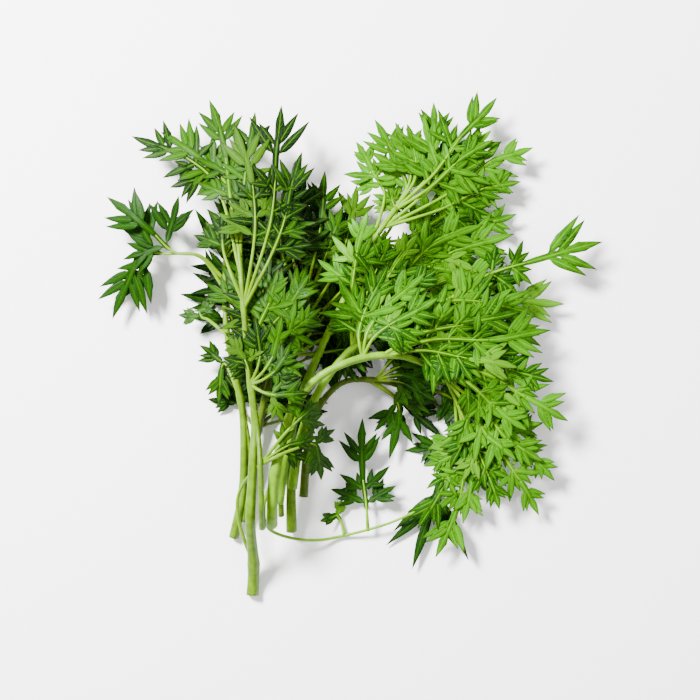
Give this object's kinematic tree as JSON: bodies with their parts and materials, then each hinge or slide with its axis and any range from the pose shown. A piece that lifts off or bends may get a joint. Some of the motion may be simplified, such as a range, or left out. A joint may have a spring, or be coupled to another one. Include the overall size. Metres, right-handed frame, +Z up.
{
  "type": "cosmos greens bunch",
  "caption": "Bunch of young cosmos greens lying flat: grooved pale green stems with lacy, twice-divided leaves fanned out from the cut ends.",
  "frame": {"origin": "under the middle of the bunch's outline, on the surface that it lies on", "axes": "+Z up from the surface, +Y from the cut stems towards the far leaf tips, +X to the right seen from above with the cut stems nearest"},
  "size_m": [0.2542, 0.2534, 0.0562],
  "materials": {
    "leaf_shaded": "soft satin plant surface, green right through",
    "leaf_olive": "soft satin plant surface, green right through",
    "leaf_bright": "soft satin plant surface, green right through"
  },
  "bodies": {
    "root": {"stem_under": "leaf_shaded", "stem_lower_right": "leaf_shaded", "stem_outer_left": "leaf_olive", "stem_middle": "leaf_olive", "stem_upper_right": "leaf_bright", "stem_right": "leaf_bright", "stem_arching": "leaf_bright", "stem_front_left": "leaf_olive"}
  },
  "joints": []
}
